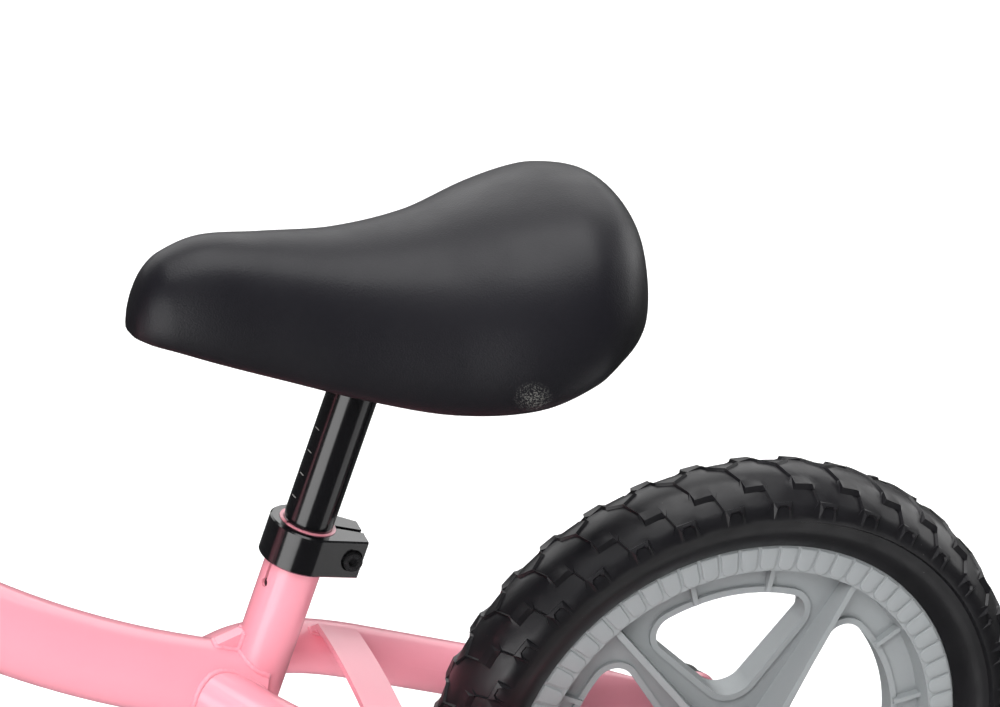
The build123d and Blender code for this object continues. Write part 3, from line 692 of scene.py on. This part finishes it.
def close_bead(points, faces, centre, section):
    """Turn the tyre in under the rim's flanges, so that no open edge shows."""
    r, y = section.points[0]
    left = [(r - down, y - across) for down, across in BEAD_FOLD]
    rings = []
    for radius, across in left + [(radius, -across) for radius, across in reversed(left)]:
        rings.append(len(points))
        for k in range(BEAD_POINTS):
            angle = math.radians(360 * k / BEAD_POINTS)
            points.append(round_wheel(centre, radius, across, angle))
    for a, b in zip(rings, rings[1:]):
        band(faces, a, b, BEAD_POINTS)


# ---- rims ---------------------------------------------------------------------------------------

BLOCKS = 70
BLOCK_PITCH = 360 / BLOCKS
BLOCK_PHASE = -36.9  # one gap between blocks lies over a spoke
BLOCK_GAP = 1.3
BLOCK_INNER = 100.4
BLOCK_OUTER = 112.2
BLOCK_FOOT = 13.3
BLOCK_TOP = 14.6
BLOCK_ROUND = 3.2
BLOCK_ROUND_STEPS = 6
BLOCK_SIDE_STEPS = 3
# Rings of a block from its foot up: how far in from its edge, and the height from the middle plane.
BLOCK_LEVELS = (
    (0.0, BLOCK_FOOT),
    (0.1, BLOCK_TOP - 0.5),
    (0.35, BLOCK_TOP - 0.15),
    (0.8, BLOCK_TOP),
)
BLOCK_HALF_WIDTH = 4.2
BLOCK_HALF_LENGTH = 5.9


def block_outline():
    """One block's outline as (across, radius) in mm, rounded at its inner end."""
    half_angle = math.radians(BLOCK_PITCH / 2)
    half = []
    for k in range(BLOCK_ROUND_STEPS + 1):
        angle = math.pi / 2 * k / BLOCK_ROUND_STEPS
        radius = BLOCK_INNER + BLOCK_ROUND * (1 - math.cos(angle))
        edge = radius * math.tan(half_angle) - BLOCK_GAP / 2
        half.append((edge - BLOCK_ROUND * (1 - math.sin(angle)), radius))
    for k in range(1, BLOCK_SIDE_STEPS + 1):
        run = BLOCK_OUTER - BLOCK_INNER - BLOCK_ROUND
        radius = BLOCK_INNER + BLOCK_ROUND + run * k / BLOCK_SIDE_STEPS
        half.append((radius * math.tan(half_angle) - BLOCK_GAP / 2, radius))
    return half + [(-x, r) for x, r in reversed(half)]


def make_rim_blocks(end, body):
    """The ring of raised pillows moulded on both faces of a rim's flange."""
    centre = wheel_centre(f"{end}_tyre")
    middle = (BLOCK_INNER + BLOCK_OUTER) / 2
    loop = block_outline()
    size = len(loop)
    points, faces = [], []
    for sign in (1, -1):
        for block in range(BLOCKS):
            turn = math.radians(BLOCK_PHASE + (block + 0.5) * BLOCK_PITCH)
            outward = Vector((-math.sin(turn), 0, math.cos(turn)))
            sideways = Vector((-math.cos(turn), 0, -math.sin(turn)))
            rings = []
            for inset, height in BLOCK_LEVELS:
                rings.append(len(points))
                for x, radius in loop:
                    across = x * (1 - inset / BLOCK_HALF_WIDTH)
                    out = middle + (radius - middle) * (1 - inset / BLOCK_HALF_LENGTH)
                    at = (outward * out + sideways * across) * MM
                    points.append((centre.x + at.x, sign * height * MM, centre.z + at.z))
            for a, b in zip(rings, rings[1:]):
                band(faces, a, b, size)
            faces.append([rings[-1] + k for k in range(size)])
            faces.append([rings[0] + k for k in reversed(range(size))])
    plastic = MATERIALS["rim_plastic"]
    return mesh_object(f"{end}_rim_blocks", points, faces, body, plastic, 40)


# ---- saddle -------------------------------------------------------------------------------------

# Stations from the tail forward, mm: x, half width, top, lower edge.
SADDLE_STATIONS = (
    (-227.6, 1.5, 409.5, 397.0),
    (-225.6, 22.5, 423.5, 394.6),
    (-221.0, 39.0, 435.8, 392.0),
    (-213.8, 52.0, 443.3, 389.0),
    (-203.7, 62.4, 446.2, 385.5),
    (-190.0, 68.8, 447.0, 378.6),
    (-166.0, 66.2, 443.6, 369.6),
    (-134.0, 52.9, 436.4, 366.8),
    (-100.0, 40.6, 434.8, 373.4),
    (-66.0, 31.3, 438.4, 384.4),
    (-40.0, 25.0, 440.9, 393.4),
    (-23.0, 19.4, 436.2, 399.4),
    (-15.6, 15.4, 430.3, 401.4),
    (-10.9, 11.4, 422.4, 403.0),
    (-8.2, 7.6, 415.0, 404.0),
    (-6.4, 1.5, 409.5, 405.4),
)
# Half section, as shares of the half width and of the height, from the top's middle down.
SADDLE_SECTION = (
    (0, 1),
    (0.22, 0.99),
    (0.42, 0.955),
    (0.61, 0.895),
    (0.76, 0.80),
    (0.87, 0.67),
    (0.94, 0.53),
    (0.985, 0.39),
    (1, 0.27),
    (0.992, 0.16),
    (0.962, 0.06),
    (0.90, 0.0),
)
SKIN_FOLD = 8.0  # how far the skin turns in under the edge
# The fold's points: shares of the fold inward and of the height above the lower edge.
FOLD_SECTION = ((0.35, -0.008), (0.75, 0.02), (1.0, 0.07))
SADDLE_STEPS = 150
SOFTENING = 6


def saddle_ring(x, half, top, low):
    """One closed ring of the cushion at x, from the top's middle down the left side and round."""
    height = top - low
    side = [(y * half, low + z * height) for y, z in SADDLE_SECTION]
    edge = side[-1][0]
    fold = min(SKIN_FOLD, edge * 0.5)
    side += [(edge - fold * share, low + rise * height) for share, rise in FOLD_SECTION]
    return [(x, y, z) for y, z in side] + [(x, -y, z) for y, z in reversed(side[1:])]


def make_saddle():
    """The saddle's cushion: foam under a moulded vinyl skin that folds in beneath its edge."""
    columns = [[(row[0], row[k]) for row in SADDLE_STATIONS] for k in (1, 2, 3)]
    tail, nose = SADDLE_STATIONS[0][0], SADDLE_STATIONS[-1][0]
    rings = []
    for k in range(SADDLE_STEPS + 1):
        x = tail + (nose - tail) * (1 - math.cos(math.pi * k / SADDLE_STEPS)) / 2
        rings.append(saddle_ring(x, *(between(column, x) for column in columns)))
    size = len(rings[0])
    points = [tuple(c * MM for c in p) for ring in rings for p in ring]
    faces = []
    for a in range(len(rings) - 1):
        band(faces, a * size, (a + 1) * size, size)
    faces.append(list(range(size)))
    faces.append(list(range((len(rings) - 1) * size, len(rings) * size)))
    skin = MATERIALS["saddle_skin"]
    piece = mesh_object("saddle_cushion", points, faces, "seat", skin)
    smooth = piece.modifiers.new("smooth", "SUBSURF")
    smooth.levels = smooth.render_levels = 1
    soften = piece.modifiers.new("soften", "SMOOTH")
    soften.factor = 0.5
    soften.iterations = SOFTENING
    apply_modifiers(piece)
    piece.data.shade_smooth()
    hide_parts("saddle_pad")
    return piece


# ---- grips --------------------------------------------------------------------------------------

RIB_PITCH = 3.6
RIB_SECTION = ((-1.2, -0.3), (-0.8, 0.55), (-0.5, 0.75), (0.5, 0.75), (0.8, 0.55), (1.2, -0.3))
RIB_MARGIN = (9.0, 17.0)  # plain lengths kept beside the flange and the end bulb
RIB_SIDES = 64
AXIS_ROUNDS = 30  # steps of power iteration, far more than a long round part needs


def long_axis(node):
    """Middle and direction of a straight round node."""
    points = [v.co for v in NODES[node].data.vertices]
    middle = sum(points, Vector()) / len(points)
    along = Vector((0.1, 1, 0.1))
    for _ in range(AXIS_ROUNDS):
        pulls = ((p - middle) * (p - middle).dot(along) for p in points)
        along = sum(pulls, Vector()).normalized()
    return middle, along


def make_grip_ribs(node):
    """Moulded ribs round a grip, from its flange to the bulb at its end."""
    middle, along = long_axis(node)
    along *= math.copysign(1, along.y * middle.y)
    reach, radii = [], []
    for vertex in NODES[node].data.vertices:
        step = (vertex.co - middle).dot(along)
        reach.append(step)
        radii.append((vertex.co - middle - along * step).length)
    body = min(r for r in radii if r > 0.7 * max(radii))
    across = along.cross(Vector((0, 0, 1))).normalized()
    up = across.cross(along)
    first, last = min(reach) + RIB_MARGIN[0] * MM, max(reach) - RIB_MARGIN[1] * MM
    points, faces = [], []
    for rib in range(int((last - first) / (RIB_PITCH * MM)) + 1):
        start = len(points)
        for k in range(RIB_SIDES):
            angle = math.tau * k / RIB_SIDES
            out = across * math.cos(angle) + up * math.sin(angle)
            for run, rise in RIB_SECTION:
                at = first + (rib * RIB_PITCH + run) * MM
                points.append(middle + along * at + out * (body + rise * MM))
        wide = len(RIB_SECTION)
        for k in range(RIB_SIDES):
            band(faces, start + k * wide, start + (k + 1) % RIB_SIDES * wide, wide)
    rubber = MATERIALS["grip_rubber"]
    return mesh_object(f"{node}_ribs", points, faces, "bar", rubber, 35)


# ---- seat post marks ----------------------------------------------------------------------------

MARKS = 5
MARK_PITCH = 10.9
MARK_LOW = 59.1  # first mark, above the post's lower end
MARK_ARC = (2, 19)  # degrees round from the front, towards the left
MARK_HALF = 0.2
MARK_LIFT = 0.04
MARK_STEPS = 12


def make_post_marks():
    """The printed height marks down the front of the seat post."""
    joints = {joint["name"]: joint for joint in frame["record"]["behaviour"]["joints"]}
    up = Vector(joints["saddle_height"]["axis"])
    post = [v.co for v in NODES["seat_post"].data.vertices]
    low = min(p.dot(up) for p in post)
    ring = [p for p in post if p.dot(up) < low + 0.2 * MM]
    foot = sum(ring, Vector()) / len(ring)
    radius = max((p - foot).length for p in ring) + MARK_LIFT * MM
    left = Vector((0, 1, 0))
    front = left.cross(up)
    points, faces = [], []
    first, last = MARK_ARC
    for mark in range(MARKS):
        height = MARK_LOW + mark * MARK_PITCH
        start = len(points)
        for k in range(MARK_STEPS + 1):
            angle = math.radians(first + (last - first) * k / MARK_STEPS)
            out = front * math.cos(angle) + left * math.sin(angle)
            for side in (-MARK_HALF, MARK_HALF):
                points.append(foot + out * radius + up * (height + side) * MM)
        for k in range(start, start + 2 * MARK_STEPS, 2):
            faces.append([k, k + 1, k + 3, k + 2])
    return mesh_object("seat_post_marks", points, faces, "seat", INK)


# ---- weld beads ---------------------------------------------------------------------------------

WELDS = {
    "main_tube": ("seat_tube", "head_tube"),
    "seat_gusset": ("main_tube", "seat_tube"),
    "stay_left": ("main_tube", "seat_tube"),
    "stay_right": ("main_tube", "seat_tube"),
    "stay_bridge": ("stay_left", "stay_right"),
}
BEAD_RADIUS = 1.3
BEAD_STEP = 0.7
BEAD_SIDES = 10
RIPPLE = 0.10
RIPPLE_RUN = 2.6
LEAST_SEAM = 12.0
SAME_SEAM = 9.0  # a tube's inner edge has its middle this close to its outer edge's
SEAM_GAP = 0.2
SEAM_MIDDLE_GAP = 0.4  # a chord's middle lies a little off a curved surface
SEAM_ANGLE = 0.35  # least bend of a seam's edge, radians
SMOOTHINGS = 4


def seam_edges(node, others):
    """Sharp edges of a node that lie on its neighbours' surfaces, as pairs of points."""
    trees = []
    for other in others:
        mesh = NODES[other].data
        corners = [v.co for v in mesh.vertices]
        trees.append(BVHTree.FromPolygons(corners, [p.vertices for p in mesh.polygons]))

    def touches(point, gap):
        return any(tree.find_nearest(point, gap * MM)[0] is not None for tree in trees)

    shape = bmesh.new()
    shape.from_mesh(NODES[node].data)
    bmesh.ops.remove_doubles(shape, verts=shape.verts, dist=1e-5)
    pairs = []
    for edge in shape.edges:
        a, b = (v.co.copy() for v in edge.verts)
        sharp = edge.is_manifold and edge.calc_face_angle() > SEAM_ANGLE
        ends = sharp and touches(a, SEAM_GAP) and touches(b, SEAM_GAP)
        if ends and touches((a + b) / 2, SEAM_MIDDLE_GAP):
            pairs.append((a, b))
    shape.free()
    return pairs


def chains(pairs):
    """The pairs joined end to end into runs of points."""

    def key(p):
        return tuple(round(c, 5) for c in p)

    links = {}
    for a, b in pairs:
        links.setdefault(key(a), set()).add(key(b))
        links.setdefault(key(b), set()).add(key(a))
    runs = []
    while links:
        start = min(links, key=lambda p: (len(links[p]) != 1, p))
        run = [start]
        while links.get(run[-1]):
            here = run[-1]
            there = min(links[here])
            for a, b in ((here, there), (there, here)):
                links[a].discard(b)
                if not links[a]:
                    del links[a]
            run.append(there)
        runs.append([Vector(p) for p in run])
    return runs


def length(run):
    return sum((b - a).length for a, b in zip(run, run[1:]))


def evenly(run, step):
    """The run as evenly spaced points, slightly smoothed."""
    total = length(run)
    count = max(4, round(total / step))
    spaced, k, gone = [], 0, 0.0
    for n in range(count + 1):
        want = total * n / count
        while k < len(run) - 2 and gone + (run[k + 1] - run[k]).length < want:
            gone += (run[k + 1] - run[k]).length
            k += 1
        part = (run[k + 1] - run[k]).length
        spaced.append(run[k].lerp(run[k + 1], min(1.0, (want - gone) / max(part, 1e-9))))
    closed = (run[0] - run[-1]).length < 1e-4
    if closed:
        spaced.pop()
    size = len(spaced)
    for _ in range(SMOOTHINGS):
        softer = [(spaced[i - 1] + spaced[i] * 2 + spaced[(i + 1) % size]) / 4 for i in range(size)]
        if not closed:
            softer[0], softer[-1] = spaced[0], spaced[-1]
        spaced = softer
    return spaced, closed


def lay_bead(points, faces, run):
    """A rippled round bead along a seam."""
    path, closed = evenly(run, BEAD_STEP * MM)
    size = len(path)
    middle = sum(path, Vector()) / size
    start = len(points)
    ripples = max(1, round(size * BEAD_STEP / RIPPLE_RUN))
    for i, at in enumerate(path):
        before = path[i - 1] if closed or i else at
        after = path[(i + 1) % size] if closed or i < size - 1 else at
        along = (after - before).normalized()
        out = at - middle
        out = (out - along * out.dot(along)).normalized()
        side = along.cross(out)
        radius = BEAD_RADIUS * MM * (1 + RIPPLE * math.sin(math.tau * ripples * i / size))
        for k in range(BEAD_SIDES):
            angle = math.tau * k / BEAD_SIDES
            points.append(at + (out * math.cos(angle) + side * math.sin(angle)) * radius)
    for i in range(size if closed else size - 1):
        band(faces, start + i * BEAD_SIDES, start + (i + 1) % size * BEAD_SIDES, BEAD_SIDES)
    if not closed:
        faces.append([start + k for k in range(BEAD_SIDES)])
        faces.append([start + (size - 1) * BEAD_SIDES + k for k in range(BEAD_SIDES)])


def make_welds():
    """Painted weld beads along the seams of the frame's tubes."""
    points, faces = [], []
    for node, others in WELDS.items():
        runs = sorted(chains(seam_edges(node, others)), key=length, reverse=True)
        laid = []
        for run in runs:
            middle = sum(run, Vector()) / len(run)
            apart = all((middle - other).length > SAME_SEAM * MM for other in laid)
            if length(run) > LEAST_SEAM * MM and apart:
                laid.append(middle)
                lay_bead(points, faces, run)
    paint = MATERIALS["frame_paint"]
    return mesh_object("frame_welds", points, faces, "frame", paint)


# ---- stage, light and camera --------------------------------------------------------------------

CAMERA_AT = (0.207, 1.119, 0.939)
CAMERA_TURN = 18.54  # degrees from the bike's left side towards its front
CAMERA_DOWN = 25.77
LENS = 109.5
SENSOR = 36


def make_camera():
    """The still camera, from the bike's left and front, looking down."""
    turn, down = math.radians(CAMERA_TURN), math.radians(CAMERA_DOWN)
    level = Vector((math.sin(turn), math.cos(turn), 0))
    back = level * math.cos(down) + Vector((0, 0, math.sin(down)))
    right = Vector((-math.cos(turn), math.sin(turn), 0))
    up = back.cross(right)
    data = bpy.data.cameras.new("camera")
    data.lens = LENS
    data.sensor_width = SENSOR
    camera = bpy.data.objects.new("camera", data)
    bpy.context.scene.collection.objects.link(camera)
    camera.matrix_world = Matrix(
        [[right[k], up[k], back[k], CAMERA_AT[k]] for k in range(3)] + [[0, 0, 0, 1]]
    )
    bpy.context.scene.camera = camera


def glow(name, strength):
    """A plain white surface that gives off its own light."""
    material = bpy.data.materials.new(name)
    material.use_nodes = True
    shader = material.node_tree.nodes["Principled BSDF"]
    shader.inputs["Base Color"].default_value = (0.8, 0.8, 0.8, 1)
    shader.inputs["Roughness"].default_value = 0.9
    shader.inputs["Specular IOR Level"].default_value = 0.0
    shader.inputs["Emission Color"].default_value = (1, 1, 1, 1)
    shader.inputs["Emission Strength"].default_value = strength
    return material


FLOOR_SIDES = 96
FLOOR_REACH = 12
FLOOR_GLOW = 0.45
WALL_GLOW = 1.0
FLOOR_LIFT = -0.0005  # keeps the floor just under the tyres


def make_floor():
    """A pale floor out to a pale cylinder wall, which the bike's gloss doesn't mirror."""
    angles = [math.tau * k / FLOOR_SIDES for k in range(FLOOR_SIDES)]
    ring = [(FLOOR_REACH * math.cos(a), FLOOR_REACH * math.sin(a)) for a in angles]
    points = [(x, y, height) for height in (0, FLOOR_REACH) for x, y in ring]
    floor = bpy.data.meshes.new("floor")
    floor.from_pydata(points[:FLOOR_SIDES], [], [list(range(FLOOR_SIDES))])
    wall = bpy.data.meshes.new("wall")
    sides = []
    band(sides, 0, FLOOR_SIDES, FLOOR_SIDES)
    wall.from_pydata(points, [], sides)
    floor.materials.append(glow("floor", FLOOR_GLOW))
    wall.materials.append(glow("wall", WALL_GLOW))
    for name, mesh in (("floor", floor), ("wall", wall)):
        piece = bpy.data.objects.new(name, mesh)
        piece.location.z = FLOOR_LIFT
        piece.visible_glossy = False
        piece.visible_diffuse = name == "floor"
        piece.visible_shadow = name == "floor"
        bpy.context.scene.collection.objects.link(piece)


BIKE_MIDDLE = (-0.1, 0, 0.3)
POST_MIDDLE = (-0.1, 0, 0.34)
# Name, place, what it faces, size, brightness, and whether it lights gloss and matte.
LAMPS = (
    ("back", (-0.5, -2.3, 1.5), BIKE_MIDDLE, (4.2, 1.9), 1.6, True, True),
    ("overhead", (-0.1, 0.0, 2.6), BIKE_MIDDLE, (2.4, 2.4), 3.0, True, True),
    ("front", (0.9, 1.5, 2.0), BIKE_MIDDLE, (1.5, 1.3), 10.0, False, True),
    ("glint", (0.7, 0.9, 2.3), BIKE_MIDDLE, (1.2, 1.0), 0.9, True, False),
    ("rear", (-2.3, -0.5, 0.9), BIKE_MIDDLE, (1.6, 1.6), 2.4, True, False),
    ("strip_left", (0.42, 0.406, 0.31), POST_MIDDLE, (0.46, 0.36), 3.2, True, False),
    ("strip_right", (-0.405, 0.285, 0.07), POST_MIDDLE, (0.24, 0.22), 0.8, True, False),
)
AMBIENT = 0.06


def softbox(name, at, look_at, size, glare, gloss, matte):
    """A rectangular lamp of an even brightness, seen only by the light it casts."""
    data = bpy.data.lights.new(name, "AREA")
    data.shape = "RECTANGLE"
    data.size, data.size_y = size
    data.energy = glare * math.pi * size[0] * size[1]
    light = bpy.data.objects.new(name, data)
    light.location = at
    light.rotation_euler = (Vector(look_at) - Vector(at)).to_track_quat("-Z", "Y").to_euler()
    light.visible_camera = False
    light.visible_diffuse = matte
    light.visible_glossy = gloss
    bpy.context.scene.collection.objects.link(light)


def make_lights():
    """Studio lamps, with a faint even light from all round."""
    world = bpy.data.worlds.new("studio")
    world.use_nodes = True
    back = world.node_tree.nodes["Background"]
    back.inputs["Color"].default_value = (1, 1, 1, 1)
    back.inputs["Strength"].default_value = AMBIENT
    bpy.context.scene.world = world
    for lamp in LAMPS:
        softbox(*lamp)


TREAD_STEP = 2.6


def main():
    make_camera()
    make_floor()
    make_lights()
    paint_cad_nodes()
    step = TREAD_STEP
    for end in ("rear", "front"):
        make_tyre(f"{end}_tyre", f"{end}_wheel", step)
        make_rim_blocks(end, f"{end}_wheel")
    make_saddle()
    make_post_marks()
    make_welds()
    for node in ("grip_left", "grip_right"):
        make_grip_ribs(node)
    bpy.context.scene.view_settings.view_transform = "Standard"


main()
